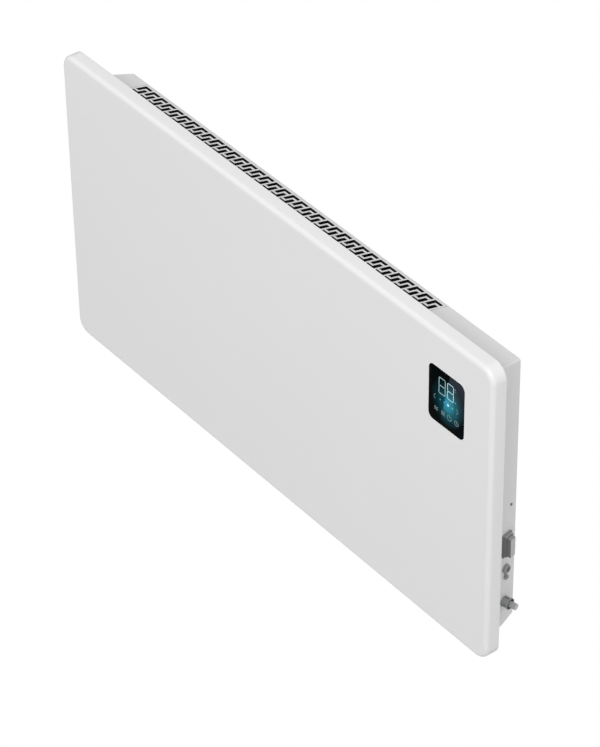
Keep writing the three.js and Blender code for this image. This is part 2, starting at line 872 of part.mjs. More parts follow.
function heatingElement() {
  const left = leftPlate + finClearance;
  const right = divider - finClearance;
  const fin = sheet(rectangle(-finLength, -finSheet / 2, finLength, finSheet / 2), right - left, 'side', left);
  const fins = [Math.PI / 4, -Math.PI / 4].map((angle) => fin.clone().rotateX(angle));
  const core = rod(tubeRadius, leftPlate - tubeOverhang, divider + plateSheet + tubeOverhang, 'x', 16);
  return join([core, ...fins]).translate(0, elementY, elementHeight);
}

// A stepped ceramic ring in an end plate: its collar lies on the plate's side given by the sign.
function bush(plate, side) {
  const bore = tubeRadius + gap;
  const face = side > 0 ? plate + plateSheet + gap : plate - gap;
  const profile = [
    [bore, face - side * 5],
    [bushRadius, face - side * 5],
    [bushRadius, face],
    [bushCollar, face],
    [bushCollar, face + side * 3],
    [bore, face + side * 3],
    [bore, face - side * 5],
  ];
  if (side < 0) profile.reverse();
  return turned(profile, 'x', 20).translate(0, elementY, elementHeight);
}

const shieldBack = plateFront + 2 * plateSheet + gap;
const cutoutX = (leftPlate + divider) / 2 - cutoutShift;
const bladeHalf = cutoutRadius / 2;
const bladeTop = 9; // of the cut-out's blades over the shield

function thermalCutout() {
  const can = turned([[0, 0], [cutoutRadius, 0], [cutoutRadius, 3], [cutoutRadius - 1.5, 5], [0, 5]], 'y', 20);
  const blades = [-bladeHalf, bladeHalf].map((x) => block([x - 0.4, 4, -3], [x + 0.4, bladeTop, 3]));
  return join([can, ...blades]).translate(cutoutX, shieldBack + gap, cutoutHeight);
}

const leadY = shieldBack + gap + bladeTop - wireRadius;
const bushHole = regular(24, bushRadius + gap, elementY, elementHeight);
const leadHole = regular(16, leadHoleRadius, leadY, cutoutHeight + leadHoleRise);
add(heater, 'left_end_plate', 'galvanised', endPlate(leftPlate, 1, [bushHole]));
add(heater, 'compartment_divider', 'galvanised', endPlate(divider, -1, [bushHole, leadHole]));
add(heater, 'heat_shield', 'galvanised', heatShield());
add(heater, 'heating_element', 'aluminium', heatingElement());
add(heater, 'element_bush_left', 'ceramic', bush(leftPlate, 1));
add(heater, 'element_bush_right', 'ceramic', bush(divider, -1));
add(heater, 'thermal_cutout', 'darkPlastic', thermalCutout());

// ---------------------------------------------------------------- electronics

const trayBack = backInside - gap;
const trayFront = trayBack - traySheet;
const boardRear = trayFront - trayBoss - gap;
const partSeat = boardRear - boardSheet - gap;

function boardTray() {
  const plate = sheet(rounded(trayLeft, trayLow, trayRight, trayHigh, 4), traySheet, 'upright', -trayBack);
  const heights = [boardLow + 8, trayHigh - 12];
  const places = [trayLeft + 10, trayRight - 10].flatMap((x) => heights.map((z) => [x, z]));
  const boss = rod(3, trayFront - trayBoss, trayFront + 1, 'y', 10);
  const bosses = places.map(([x, z]) => boss.clone().translate(x, 0, z));
  return join([plate, ...bosses]);
}

const boardShape = rounded(trayLeft + boardInset, boardLow, trayRight - boardInset, trayHigh - boardInset, 2);
const boardCorner = [trayLeft + boardInset, partSeat, boardLow];
const transformerCorner = [boardCorner[0], partSeat, trayHigh - boardInset - transformerDrop];
const terminalLow = boardLow - 25;
const terminalBox = [
  [trayLeft + 6, trayFront - gap - 12, terminalLow],
  [trayLeft + 46, trayFront - gap, boardLow - 11],
];
const earthX = trayRight + earthOffset;
const electronics = [
  ['board_tray', 'darkPlastic', boardTray()],
  ['power_board', 'board', sheet(boardShape, boardSheet, 'upright', -boardRear)],
  ['relay', 'darkPlastic', block([9, -15, 30], [28, 0, 58]).translate(...boardCorner)],
  ['transformer', 'steel', block([29, -25, 0], [62, 0, 36]).translate(...transformerCorner)],
  ['capacitor', 'darkPlastic', rod(6.5, -22, 0, 'y').translate(17, 0, 18).translate(...transformerCorner)],
  ['terminal_block', 'ceramic', block(...terminalBox)],
  ['earth_screw', 'steel', panScrew(0.5).rotateX(Math.PI).translate(earthX, trayBack - 0.5, earthHeight)],
];
electronics.forEach(([name, finish, geometry]) => add(heater, name, finish, geometry));

// ---------------------------------------------------------------- leads

// A point on the right wall's fittings, in the heater's own frame.
function atWall(row, height, depth) {
  rightWall.updateMatrix();
  return new THREE.Vector3(depth, -row, height).applyMatrix4(rightWall.matrix).toArray();
}

// A lead: straight out of its first end, round its bends, and straight into its last end.
// A bend is a share of the way between them and how far it lies off the straight line.
function lead(start, out, bends, end, into) {
  const first = away(start, out);
  const last = away(end, into);
  const between = bends.map(([share, ...off]) => away(along(first, last, share), off));
  return tube([start, first, ...between, last, end], wireRadius);
}

function away(point, way) {
  return point.map((value, axis) => value + way[axis]);
}

function along(first, last, share) {
  return first.map((value, axis) => value + share * (last[axis] - value));
}

const cores = [90, 210, 330].map((degrees) => {
  const angle = THREE.MathUtils.degToRad(degrees);
  return atWall(glandRow + 2 * Math.cos(angle), glandHeight + 2 * Math.sin(angle), -cableInside - gap);
});
const inward = [-8, -2, 0];
const toBoard = [0, -8, 0];
const onBoard = (x, z) => [boardCorner[0] + x, partSeat, boardCorner[2] + z];
const terminalY = (terminalBox[0][1] + terminalBox[1][1]) / 2;
const terminal = (x) => [terminalBox[0][0] + x, terminalY, terminalLow - gap];
const aboveTerminal = (x) => [terminalBox[0][0] + x, terminalY, terminalBox[1][2] + gap];
const earthEnd = [earthX, trayBack - 0.5 - screwHeadRise - gap, earthHeight];
const blade = (z) => atWall(fittingRow, switchHeight + z, -switchBodyDepth - switchBlade - gap);
const elementEnd = (z) => [divider + plateSheet + tubeOverhang + gap, elementY, elementHeight + z];
const sensorEnd = atWall(fittingRow, sensorHeight, -sensorInside - gap);

// From a blade of the thermal cut-out, through the divider, to the board.
function cutoutLead(x, rise) {
  const start = [cutoutX + x, leadY, cutoutHeight + 3 + gap];
  const level = cutoutHeight + leadHoleRise + rise;
  const target = [boardCorner[0] + 5, partSeat, level + 4 * rise];
  const path = [start, away(start, [0, 0, 4]), [cutoutX + x + 12, leadY, level], [divider - 20, leadY, level]];
  return tube([...path, [divider + 5, leadY, level], away(target, [0, -12, 0]), target], wireRadius, 6, 40);
}

// A flat ribbon from the display board's back to the power board.
function displayRibbon() {
  const start = [displayX - 19, boardBack + gap, displayZ - displayHeight / 2 + 4];
  const end = away(transformerCorner, [52, 0, -26]);
  const section = rectangle(-ribbonWidth / 2, -0.3, ribbonWidth / 2, 0.3);
  return drawnAlong([start, away(start, [0, 7, 0]), away(end, toBoard), end], section, 16);
}

const switchBends = [[0.5, 4, -6, 10], [0.75, 6, -6, 20]];
const leads = [
  ['live_lead', 'brownCore', lead(cores[0], inward, [[0.45, 7, -4, 2]], terminal(8), [0, 0, -12])],
  ['neutral_lead', 'blueCore', lead(cores[2], inward, [[0.38, 0, -12, -2]], terminal(24), [0, 0, -12])],
  ['earth_lead', 'yellowCore', lead(cores[1], [-8, -1.5, -1.5], [[0.5, -5, -2, -4]], earthEnd, [0, -5, 0])],
  ['switch_feed', 'brownCore', lead(blade(-9), inward, switchBends, aboveTerminal(33), [0, 0, 8])],
  ['switch_return', 'brownCore', lead(blade(9), inward, [[0.6, -9, -9, 1]], onBoard(58, 22), toBoard)],
  ['element_feed', 'brownCore', lead(elementEnd(3), [5, 0, 0], [[0.38, 2, -3, 0]], onBoard(4, 10), toBoard)],
  ['element_return', 'blueCore', lead(elementEnd(-3), [8, 0, 0], [[0.38, 6, -1, 0]], onBoard(12, 8), toBoard)],
  ['sensor_lead', 'darkPlastic', lead(sensorEnd, inward, [[0.56, 8, -20, 0]], onBoard(66, 12), toBoard)],
  ['cutout_feed', 'brownCore', cutoutLead(-bladeHalf, 1.6)],
  ['cutout_return', 'blueCore', cutoutLead(bladeHalf, -1.6)],
  ['display_ribbon', 'cable', displayRibbon()],
];
leads.forEach(([name, finish, geometry]) => add(heater, name, finish, geometry));

// ---------------------------------------------------------------- wall side

function wallRail(height, length, width, extras) {
  const outline = rounded(-length / 2, height - width / 2, length / 2, height + width / 2, 4);
  const places = [-wallScrewSpread, wallScrewSpread];
  const slots = places.map((x) => longHole(x, height, wallSlotLength, wallSlotWidth));
  return join([punched(outline, slots, railSheet, 'upright'), ...extras]);
}

// A hook goes through the casing's back and turns up behind it.
function hook(x) {
  const half = hookWidth / 2;
  const front = backInside - gap - railSheet;
  return join([
    block([x - half, front, railHeight - railSheet], [x + half, -railSheet / 2, railHeight]),
    block([x - half, front, railHeight - railSheet], [x + half, front + railSheet, railHeight + hookLip]),
  ]);
}

function spacer(x) {
  return block([x - 10, casingBack + gap, lowerRailHeight - 7], [x + 10, -railSheet / 2, lowerRailHeight + 7]);
}

const upperHooks = [-hookSpread, hookSpread].map(hook);
const spacers = [-spacerSpread, spacerSpread].map(spacer);
const upperRail = wallRail(railHeight, railLength, railWidth, upperHooks);
const lowerRail = wallRail(lowerRailHeight, lowerRailLength, lowerRailWidth, spacers);
add(heater, 'upper_wall_rail', 'galvanised', upperRail);
add(heater, 'lower_wall_rail', 'galvanised', lowerRail);
[['left', -1], ['right', 1]].forEach(([side, sign]) => {
  const front = casingBack + gap;
  const bumper = turned([[0, front], [bumperRadius, front], [bumperRadius - 1, 0], [0, 0]], 'y', 20);
  const x = sign * (casingHalf - bumperInset);
  add(heater, `wall_bumper_${side}`, 'rubber', bumper).position.set(x, 0, bumperHeight);
});

export default part;
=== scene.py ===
import math

import bmesh
import bpy
from mathutils import Matrix, Vector


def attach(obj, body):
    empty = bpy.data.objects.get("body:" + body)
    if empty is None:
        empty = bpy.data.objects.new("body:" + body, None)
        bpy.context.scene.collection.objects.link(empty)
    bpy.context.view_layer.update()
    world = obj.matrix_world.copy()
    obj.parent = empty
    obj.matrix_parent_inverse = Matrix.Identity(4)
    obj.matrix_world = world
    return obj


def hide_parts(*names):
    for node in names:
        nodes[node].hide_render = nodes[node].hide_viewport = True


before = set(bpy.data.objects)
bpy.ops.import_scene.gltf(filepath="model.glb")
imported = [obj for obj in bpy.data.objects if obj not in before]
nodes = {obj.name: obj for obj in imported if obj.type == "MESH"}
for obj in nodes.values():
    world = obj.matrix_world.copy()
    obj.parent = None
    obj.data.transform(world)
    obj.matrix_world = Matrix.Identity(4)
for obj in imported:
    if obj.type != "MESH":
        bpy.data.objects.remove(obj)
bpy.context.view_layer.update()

# ---------------------------------------------------------------- camera
# A long lens looks down on the heater from its front right, as the product picture was taken.
# Its place and its turn come from the panel's four straight edges.
photo_camera = bpy.data.objects.new("photo_camera", bpy.data.cameras.new("photo_camera"))
bpy.context.collection.objects.link(photo_camera)
FILM_WIDTH = 36.0
FRAME_HEIGHT = 747
FOCUS_IN_PIXELS = 3505.14
photo_camera.data.sensor_width = FILM_WIDTH
photo_camera.data.lens = FILM_WIDTH * FOCUS_IN_PIXELS / FRAME_HEIGHT
photo_camera.data.clip_start = 0.1
photo_camera.data.clip_end = 60.0
camera_right = Vector((0.61247, 0.79039, -0.01228))
camera_down = Vector((0.48343, -0.38681, -0.78529))
camera_ahead = Vector((-0.62544, 0.47503, -0.61901))
photo_camera.matrix_world = Matrix((
    (camera_right.x, -camera_down.x, -camera_ahead.x, 2.66939),
    (camera_right.y, -camera_down.y, -camera_ahead.y, -2.06119),
    (camera_right.z, -camera_down.z, -camera_ahead.z, 2.47520),
    (0.0, 0.0, 0.0, 1.0),
))
bpy.context.scene.camera = photo_camera

# ---------------------------------------------------------------- studio
# The camera sees plain white all round. The light is a soft dome, brighter above and on the right.
# The floor lies far below the heater. It looks evenly white, and lights the heater as a grey one.
studio = bpy.data.worlds.new("studio")
bpy.context.scene.world = studio
studio.use_nodes = True
sky_nodes, sky_links = studio.node_tree.nodes, studio.node_tree.links
sky_way = sky_nodes.new("ShaderNodeTexCoord")
sky_split = sky_nodes.new("ShaderNodeSeparateXYZ")
sky_links.new(sky_way.outputs["Generated"], sky_split.inputs[0])


def sky_term(total, axis, strength):
    """Adds to the dome's light a part that grows towards the axis's far end."""
    grown = sky_nodes.new("ShaderNodeMapRange")
    grown.inputs["To Max"].default_value = strength
    sky_links.new(sky_split.outputs[axis], grown.inputs["Value"])
    summed = sky_nodes.new("ShaderNodeMath")
    summed.operation = "ADD"
    sky_links.new(grown.outputs["Result"], summed.inputs[0])
    if isinstance(total, float):
        summed.inputs[1].default_value = total
    else:
        sky_links.new(total, summed.inputs[1])
    return summed.outputs[0]


SKY_EVENLY = 0.20
SKY_ABOVE = 0.55
SKY_RIGHT = 0.58
sky_light = sky_term(sky_term(SKY_EVENLY, "Z", SKY_ABOVE), "X", SKY_RIGHT)
sky_seen = sky_nodes.new("ShaderNodeLightPath")
sky_choice = sky_nodes.new("ShaderNodeMix")
sky_choice.data_type = "RGBA"
sky_choice.inputs["B"].default_value = (1, 1, 1, 1)
sky_links.new(sky_seen.outputs["Is Camera Ray"], sky_choice.inputs["Factor"])
sky_links.new(sky_light, sky_choice.inputs["A"])
sky_links.new(sky_choice.outputs["Result"], sky_nodes["Background"].inputs["Color"])

FLOOR_LEVEL = -0.95
FLOOR_REACH = 14
floor_mesh = bpy.data.meshes.new("studio_floor")
floor_ways = [(-1, -1), (1, -1), (1, 1), (-1, 1)]
floor_corners = [(x * FLOOR_REACH, y * FLOOR_REACH, FLOOR_LEVEL) for x, y in floor_ways]
floor_mesh.from_pydata(floor_corners, [], [(0, 1, 2, 3)])
studio_floor = bpy.data.objects.new("studio_floor", floor_mesh)
bpy.context.collection.objects.link(studio_floor)
floor_paint = bpy.data.materials.new("floor_paint")
floor_paint.use_nodes = True
floor_nodes, floor_links = floor_paint.node_tree.nodes, floor_paint.node_tree.links
floor_shader = floor_nodes["Principled BSDF"]
floor_shader.inputs["Base Color"].default_value = (0.6, 0.6, 0.6, 1)
floor_shader.inputs["Roughness"].default_value = 0.9
floor_white = floor_nodes.new("ShaderNodeEmission")
floor_seen = floor_nodes.new("ShaderNodeLightPath")
floor_choice = floor_nodes.new("ShaderNodeMixShader")
floor_links.new(floor_seen.outputs["Is Camera Ray"], floor_choice.inputs["Fac"])
floor_links.new(floor_shader.outputs[0], floor_choice.inputs[1])
floor_links.new(floor_white.outputs[0], floor_choice.inputs[2])
floor_under = floor_nodes.new("ShaderNodeBsdfTransparent")
floor_mix = floor_nodes.new("ShaderNodeMixShader")
floor_face = floor_nodes.new("ShaderNodeNewGeometry")
floor_links.new(floor_face.outputs["Backfacing"], floor_mix.inputs["Fac"])
floor_links.new(floor_choice.outputs[0], floor_mix.inputs[1])
floor_links.new(floor_under.outputs[0], floor_mix.inputs[2])
floor_links.new(floor_mix.outputs[0], floor_nodes["Material Output"].inputs["Surface"])
floor_mesh.materials.append(floor_paint)


LIT_POINT = Vector((0.0, 0.0, -0.1))


def soft_light(name, place, width, height, power):
    """A rectangular soft box that faces the heater."""
    light = bpy.data.objects.new(name, bpy.data.lights.new(name, "AREA"))
    light.data.shape = "RECTANGLE"
    light.data.size = width
    light.data.size_y = height
    light.data.energy = power
    light.location = place
    light.rotation_euler = (LIT_POINT - light.location).to_track_quat("-Z", "Y").to_euler()
    bpy.context.collection.objects.link(light)


soft_light("soft_box", (2.0, -3.6, 3.5), 2.9, 2.2, 135.0)
soft_light("left_fill", (-1.3, -1.3, 1.0), 1.0, 1.0, 4.5)
bpy.context.scene.view_settings.view_transform = "Standard"

# ---------------------------------------------------------------- front panel
# One pressed sheet of 1.2 mm steel, folded back all round with a 6 mm radius and turned in behind.
# It is powder coated white; the fine orange peel of the coat breaks up its highlights.
PANEL = {"left": -0.413, "right": 0.413, "low": -0.320, "high": 0.110}
PANEL_FRONT = -0.083
PANEL_RIM_BACK = -0.063
PANEL_SHEET = 0.0012
PANEL_CORNER = 0.020
PANEL_FOLD = 0.006
PANEL_RETURN = 0.024
PANEL_EDGE_BREAK = 0.0004
PANEL_FLAT_EDGE = 0.0008
GLASS_CENTRE = (0.3345, 0.0235)
GLASS_SIZE = (0.062, 0.078)
GLASS_CORNER = 0.008
WINDOW_GAP = 0.0003


def rounded_ring(box, radius, y, steps):
    """Points round an upright rounded rectangle at depth y, anticlockwise seen from the front."""
    corners = (
        (box["right"] - radius, box["low"] + radius),
        (box["right"] - radius, box["high"] - radius),
        (box["left"] + radius, box["high"] - radius),
        (box["left"] + radius, box["low"] + radius),
    )
    points = []
    for turn, (x, z) in enumerate(corners):
        for step in range(steps + 1):
            angle = (turn - 1 + step / steps) * math.pi / 2
            points.append(Vector((x + radius * math.cos(angle), y, z + radius * math.sin(angle))))
    return points


def inset_box(box, by):
    inwards = {"left": by, "right": -by, "low": by, "high": -by}
    return {side: place + inwards[side] for side, place in box.items()}


def centred_box(centre, size):
    (x, z), (width, height) = centre, size
    return {"left": x - width / 2, "right": x + width / 2, "low": z - height / 2, "high": z + height / 2}


def add_rings(bm, rings, closed=False):
    """Joins rings of equal length by bands of faces and returns the rings' vertices."""
    made = [[bm.verts.new(point) for point in ring] for ring in rings]
    following = made[1:] + (made[:1] if closed else [])
    for near, far in zip(made, following):
        for i in range(len(near)):
            j = (i + 1) % len(near)
            bm.faces.new((near[i], near[j], far[j], far[i]))
    return made


def piece_from(bm, name, material, slot, *replaced, body="heater", smooth=35):
    """Makes the object, gives it its material and its body, and hides the solids it stands for. The slot is
    not used.
    """
    bmesh.ops.recalc_face_normals(bm, faces=bm.faces)
    mesh = bpy.data.meshes.new(name)
    bm.to_mesh(mesh)
    bm.free()
    mesh.shade_smooth()
    mesh.set_sharp_from_angle(angle=math.radians(smooth))
    mesh.materials.append(material)
    piece = bpy.data.objects.new(name, mesh)
    bpy.context.collection.objects.link(piece)
    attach(piece, body)
    if replaced:
        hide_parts(*replaced)
    return piece


def finish_of(
    name, light, dark, rough, metal=0.0, coat=0.0, patch=6.0, grain=900.0, depth=0.00002, stretch=(1, 1, 1)
):
    """A finish with slow patches of colour and gloss and a fine bumped grain, in the heater's own space."""
    material = bpy.data.materials.new(name)
    material.use_nodes = True
    tree, links = material.node_tree.nodes, material.node_tree.links
    shader = tree["Principled BSDF"]
    shader.inputs["Metallic"].default_value = metal
    shader.inputs["Coat Weight"].default_value = coat
    shader.inputs["Coat Roughness"].default_value = 0.15
    place = tree.new("ShaderNodeTexCoord")
    scaled = tree.new("ShaderNodeMapping")
    scaled.inputs["Scale"].default_value = stretch
    links.new(place.outputs["Object"], scaled.inputs["Vector"])
    patches = tree.new("ShaderNodeTexNoise")
    patches.inputs["Scale"].default_value = patch
    patches.inputs["Detail"].default_value = 4.0
    fine = tree.new("ShaderNodeTexNoise")
    fine.inputs["Scale"].default_value = grain
    fine.inputs["Detail"].default_value = 2.0
    for noise in (patches, fine):
        links.new(scaled.outputs["Vector"], noise.inputs["Vector"])
    tones = tree.new("ShaderNodeMix")
    tones.data_type = "RGBA"
    tones.inputs["A"].default_value = (*dark, 1)
    tones.inputs["B"].default_value = (*light, 1)
    links.new(patches.outputs["Fac"], tones.inputs["Factor"])
    links.new(tones.outputs["Result"], shader.inputs["Base Color"])
    gloss = tree.new("ShaderNodeMapRange")
    gloss.inputs["From Min"].default_value = 0.3
    gloss.inputs["From Max"].default_value = 0.7
    gloss.inputs["To Min"].default_value = rough * 0.85
    gloss.inputs["To Max"].default_value = min(1.0, rough * 1.15)
    links.new(fine.outputs["Fac"], gloss.inputs["Value"])
    links.new(gloss.outputs["Result"], shader.inputs["Roughness"])
    bump = tree.new("ShaderNodeBump")
    bump.inputs["Strength"].default_value = 0.5
    bump.inputs["Distance"].default_value = depth
    links.new(fine.outputs["Fac"], bump.inputs["Height"])
    links.new(bump.outputs["Normal"], shader.inputs["Normal"])
    return material


white_powder_coat = finish_of(
    "white_powder_coat", (0.80, 0.80, 0.80), (0.775, 0.775, 0.778), 0.42, patch=4.0
)


def fold_rings(radius, start, y):
    steps = 10
    rings = []
    for step in range(steps + 1):
        angle = math.pi / 2 * step / steps
        inset = start + radius * (1 - math.sin(angle))
        box = inset_box(PANEL, inset)
        rings.append(rounded_ring(box, PANEL_CORNER - inset, y + radius * (1 - math.cos(angle)), 14))
    return rings


def back_ring(inset, y):
    return rounded_ring(inset_box(PANEL, inset), max(PANEL_CORNER - inset, 0.0012), y, 14)


panel = bmesh.new()
outer_folds = fold_rings(PANEL_FOLD, 0.0, PANEL_FRONT)
inner_folds = fold_rings(PANEL_FOLD - PANEL_SHEET, PANEL_SHEET, PANEL_FRONT + PANEL_SHEET)
flat_support = back_ring(PANEL_FOLD + PANEL_FLAT_EDGE, PANEL_FRONT)
rim = [flat_support, *outer_folds]
rim += [back_ring(0.0, PANEL_RIM_BACK - PANEL_EDGE_BREAK), back_ring(PANEL_EDGE_BREAK, PANEL_RIM_BACK)]
rim += [back_ring(PANEL_RETURN, PANEL_RIM_BACK), back_ring(PANEL_RETURN, PANEL_RIM_BACK - PANEL_SHEET)]
rim += [back_ring(PANEL_SHEET, PANEL_RIM_BACK - PANEL_SHEET), *reversed(inner_folds)]
rim += [back_ring(PANEL_FOLD + PANEL_FLAT_EDGE, PANEL_FRONT + PANEL_SHEET)]
panel_rings = add_rings(panel, rim)
window_box = inset_box(centred_box(GLASS_CENTRE, GLASS_SIZE), -WINDOW_GAP)
window_depths = (PANEL_FRONT, PANEL_FRONT + PANEL_SHEET)
window_outlines = [rounded_ring(window_box, GLASS_CORNER + WINDOW_GAP, y, 10) for y in window_depths]
window_rings = add_rings(panel, window_outlines)
for outer, hole in ((panel_rings[0], window_rings[0]), (panel_rings[-1], window_rings[-1])):
    edges = [panel.edges.get((ring[i - 1], ring[i])) for ring in (outer, hole) for i in range(len(ring))]
    bmesh.ops.triangle_fill(panel, edges=edges, use_beauty=True)
piece_from(panel, "folded_front", white_powder_coat, "white_paint", "front_panel")

# ---------------------------------------------------------------- rear casing and its grilles
# The casing is bent from 1 mm steel and coated like the front. Its inside is painted near black as painted
# shade, so the chamber seen through the slots looks dark.
# Both grilles are punched plates pressed flush into its top and its underside.


def dress(node, material, bevel=0.0, segments=2, angle=35, smooth=40):
    """Gives a solid its finish and breaks its edges, without touching its shape."""
    piece = nodes[node]
    piece.data.materials.clear()
    piece.data.materials.append(material)
    piece.data.shade_smooth()
    piece.data.set_sharp_from_angle(angle=math.radians(smooth))
    if bevel:
        flats = piece.modifiers.new("flats", "DECIMATE")
        flats.decimate_type = "DISSOLVE"
        flats.angle_limit = math.radians(1)
        broken = piece.modifiers.new("broken_edges", "BEVEL")
        broken.width = bevel
        broken.segments = segments
        broken.limit_method = "ANGLE"
        broken.angle_limit = math.radians(angle)
        broken.harden_normals = True
    return piece


def dress_faces(node, material, chosen):
    """Gives the faces that are chosen by their middle and their normal a second finish."""
    mesh = nodes[node].data
    mesh.materials.append(material)
    place = nodes[node].matrix_world
    turn = place.to_3x3()
    for face in mesh.polygons:
        if chosen(place @ face.center, (turn @ face.normal).normalized()):
            face.material_index = len(mesh.materials) - 1


def casing_inside(middle, normal):
    """True where a face of the casing looks into the heater."""
    back = normal.y < -0.5 and middle.y > -0.0075
    return back or normal.x * middle.x < -0.02 or normal.z * (middle.z + 0.105) < -0.02


dress("rear_casing", white_powder_coat)
# Near-black paint for the casing's inside faces and the grille's slot walls and underside: painted shade.
painted_shade_black = finish_of(
    "painted_shade_black", (0.012, 0.012, 0.013), (0.008, 0.008, 0.008), 0.85, patch=30.0, grain=700.0
)
dress_faces("rear_casing", painted_shade_black, casing_inside)
TOP_WALL_BACK = Vector((0.0, -0.006, 0.068))
TOP_WALL_UP = Vector((0.0, 0.23338, 0.97239))


def grille_inside(middle, normal):
    """True for the slots' walls and all that lies under the grille's face."""
    return (middle - TOP_WALL_BACK).dot(TOP_WALL_UP) < -0.0003


dress("outlet_grille", white_powder_coat)
# The slot walls and the grille's underside are painted near black: painted shade.
dress_faces("outlet_grille", painted_shade_black, grille_inside)
dress("inlet_grille", white_powder_coat, bevel=0.0002, segments=1)

# ---------------------------------------------------------------- display
# Black glass, seated 0.2 mm proud in the panel's window, with a teal glow spreading inside it.
# A slanting border runs across it; on its right the glow is painted brighter and a grey sheen is added: a
# painted reflection.
GLASS_FRONT = -0.0832
GLASS_BACK = -0.0818
GLASS_EDGE_BREAK = 0.0004
# The glow left of the slanting border, without the painted reflection.
GLOW_WITHOUT_REFLECTION = (
    (0.0, (0.004, 0.095, 0.13)),
    (0.35, (0.001, 0.05, 0.065)),
    (0.75, (0, 0.012, 0.016)),
    (1.0, (0, 0.001, 0.001)),
)
# The glow right of the border, painted brighter as a painted reflection.
GLOW_WITH_PAINTED_REFLECTION = (
    (0.0, (0.050, 0.31, 0.47)),
    (0.22, (0.022, 0.21, 0.29)),
    (0.5, (0.010, 0.09, 0.115)),
    (0.8, (0.004, 0.022, 0.028)),
    (1.0, (0.001, 0.002, 0.003)),
)


def glow_ramp(tree, stops):
    """A colour ramp from stops of a place and a colour."""
    ramp = tree.new("ShaderNodeValToRGB")
    ramp.color_ramp.interpolation = "EASE"
    ramp.color_ramp.elements[0].color = (*stops[0][1], 1)
    ramp.color_ramp.elements[1].color = (*stops[-1][1], 1)
    for at, colour in stops[1:-1]:
        ramp.color_ramp.elements.new(at).color = (*colour, 1)
    return ramp


def black_glass_finish():
    material = bpy.data.materials.new("black_glass")
    material.use_nodes = True
    tree, links = material.node_tree.nodes, material.node_tree.links
    shader = tree["Principled BSDF"]
    shader.inputs["Roughness"].default_value = 0.1
    shader.inputs["Specular IOR Level"].default_value = 0.004
    place = tree.new("ShaderNodeTexCoord")
    centre = tree.new("ShaderNodeMapping")
    centre.vector_type = "TEXTURE"
    centre.inputs["Location"].default_value = (0.3366, -0.083, 0.0215)
    centre.inputs["Scale"].default_value = (0.030, 1.0, 0.034)
    links.new(place.outputs["Object"], centre.inputs["Vector"])
    length = tree.new("ShaderNodeVectorMath")
    length.operation = "LENGTH"
    links.new(centre.outputs["Vector"], length.inputs[0])
    plain_glow_ramp = glow_ramp(tree, GLOW_WITHOUT_REFLECTION)
    reflected_glow_ramp = glow_ramp(tree, GLOW_WITH_PAINTED_REFLECTION)
    for ramp in (plain_glow_ramp, reflected_glow_ramp):
        links.new(length.outputs["Value"], ramp.inputs["Fac"])
    across = tree.new("ShaderNodeVectorMath")
    across.operation = "DOT_PRODUCT"
    across.inputs[1].default_value = (0.977, 0.0, -0.2126)
    links.new(place.outputs["Object"], across.inputs[0])
    # The slanting border of the painted reflection.
    reflection_border = tree.new("ShaderNodeMapRange")
    reflection_border.inputs["From Min"].default_value = 0.3184
    reflection_border.inputs["From Max"].default_value = 0.3204
    links.new(across.outputs["Value"], reflection_border.inputs["Value"])
    glow_and_painted_reflection = tree.new("ShaderNodeMix")
    glow_and_painted_reflection.data_type = "RGBA"
    links.new(reflection_border.outputs["Result"], glow_and_painted_reflection.inputs["Factor"])
    links.new(plain_glow_ramp.outputs["Color"], glow_and_painted_reflection.inputs["A"])
    links.new(reflected_glow_ramp.outputs["Color"], glow_and_painted_reflection.inputs["B"])
    split = tree.new("ShaderNodeSeparateXYZ")
    links.new(place.outputs["Object"], split.inputs[0])
    # The painted reflection's grey sheen grows towards the top of the glass, right of the border.
    height = tree.new("ShaderNodeMapRange")
    height.inputs["From Min"].default_value = 0.005
    height.inputs["From Max"].default_value = 0.058
    links.new(split.outputs["Z"], height.inputs["Value"])
    painted_sheen_mask = tree.new("ShaderNodeMath")
    painted_sheen_mask.operation = "MULTIPLY"
    links.new(height.outputs["Result"], painted_sheen_mask.inputs[0])
    links.new(reflection_border.outputs["Result"], painted_sheen_mask.inputs[1])
    glow_and_painted_sheen = tree.new("ShaderNodeMix")
    glow_and_painted_sheen.data_type = "RGBA"
    glow_and_painted_sheen.blend_type = "ADD"
    glow_and_painted_sheen.inputs["B"].default_value = (0.024, 0.028, 0.038, 1)
    links.new(painted_sheen_mask.outputs[0], glow_and_painted_sheen.inputs["Factor"])
    links.new(glow_and_painted_reflection.outputs["Result"], glow_and_painted_sheen.inputs["A"])
    links.new(glow_and_painted_sheen.outputs["Result"], shader.inputs["Emission Color"])
    shader.inputs["Emission Strength"].default_value = 1.0
    smoke = tree.new("ShaderNodeTexNoise")
    smoke.inputs["Scale"].default_value = 60.0
    links.new(place.outputs["Object"], smoke.inputs["Vector"])
    tones = tree.new("ShaderNodeMix")
    tones.data_type = "RGBA"
    tones.inputs["A"].default_value = (0.001, 0.001, 0.001, 1)
    tones.inputs["B"].default_value = (0.002, 0.002, 0.002, 1)
    links.new(smoke.outputs["Fac"], tones.inputs["Factor"])
    links.new(tones.outputs["Result"], shader.inputs["Base Color"])
    return material


glass = bmesh.new()
glass_box = centred_box(GLASS_CENTRE, GLASS_SIZE)
glass_rings = [rounded_ring(glass_box, GLASS_CORNER, GLASS_BACK, 10)]
for step in range(5):
    turn = math.pi / 2 * (1 - step / 4)
    inset = GLASS_EDGE_BREAK * (1 - math.sin(turn))
    depth = GLASS_FRONT + GLASS_EDGE_BREAK * (1 - math.cos(turn))
    glass_rings.append(rounded_ring(inset_box(glass_box, inset), GLASS_CORNER - inset, depth, 10))
glass_made = add_rings(glass, glass_rings)
glass.faces.new(glass_made[-1])
glass.faces.new(glass_made[0])
piece_from(glass, "glass_plate", black_glass_finish(), "black_glass", "display_glass")


